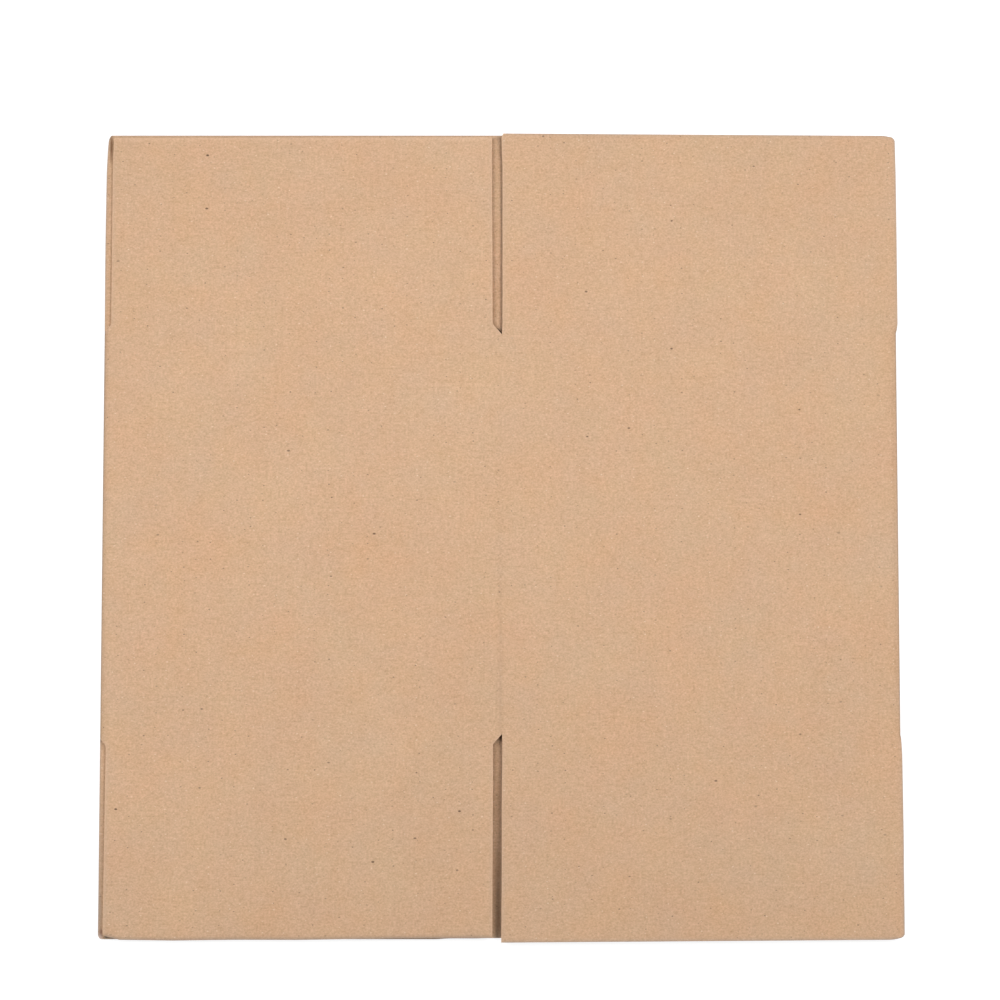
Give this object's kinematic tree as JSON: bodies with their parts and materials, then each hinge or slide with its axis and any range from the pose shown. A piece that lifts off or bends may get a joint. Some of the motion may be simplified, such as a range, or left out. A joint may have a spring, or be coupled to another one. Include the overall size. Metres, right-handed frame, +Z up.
{
  "type": "flattened cardboard box",
  "caption": "Slotted corrugated carton folded flat and glued at one seam, with its upper end flaps hinged at their scores.",
  "frame": {"origin": "centre of the underside, at the bottom of the bounding box", "axes": "+X across the flat box to the right of the picture, +Y along the flutes towards the back flaps, +Z up through the flat pack"},
  "size_m": [0.6102, 0.6159, 0.0144],
  "materials": {
    "kraft_board": "matt natural kraft, unprinted"
  },
  "bodies": {
    "box": {"box_body": "kraft_board"},
    "back_left_flap": {"back_left_flap": "kraft_board"},
    "back_right_flap": {"back_right_flap": "kraft_board"},
    "front_left_flap": {"front_left_flap": "kraft_board"},
    "front_right_flap": {"front_right_flap": "kraft_board"}
  },
  "joints": [
    {"name": "back_left_flap_score", "type": "hinge", "parent": "box", "child": "back_left_flap", "pos_m": [-0.0006, 0.1528, 0.0106], "axis": [1, 0, 0.006], "range_deg": [0, 170]},
    {"name": "back_right_flap_score", "type": "hinge", "parent": "box", "child": "back_right_flap", "pos_m": [-0.0006, 0.1528, 0.0106], "axis": [1, 0, -0.006], "range_deg": [0, 170]},
    {"name": "front_left_flap_score", "type": "hinge", "parent": "box", "child": "front_left_flap", "pos_m": [-0.0006, -0.1528, 0.0106], "axis": [-1, 0, -0.006], "range_deg": [0, 170]},
    {"name": "front_right_flap_score", "type": "hinge", "parent": "box", "child": "front_right_flap", "pos_m": [-0.0006, -0.1528, 0.0106], "axis": [-1, 0, 0.006], "range_deg": [0, 170]}
  ]
}
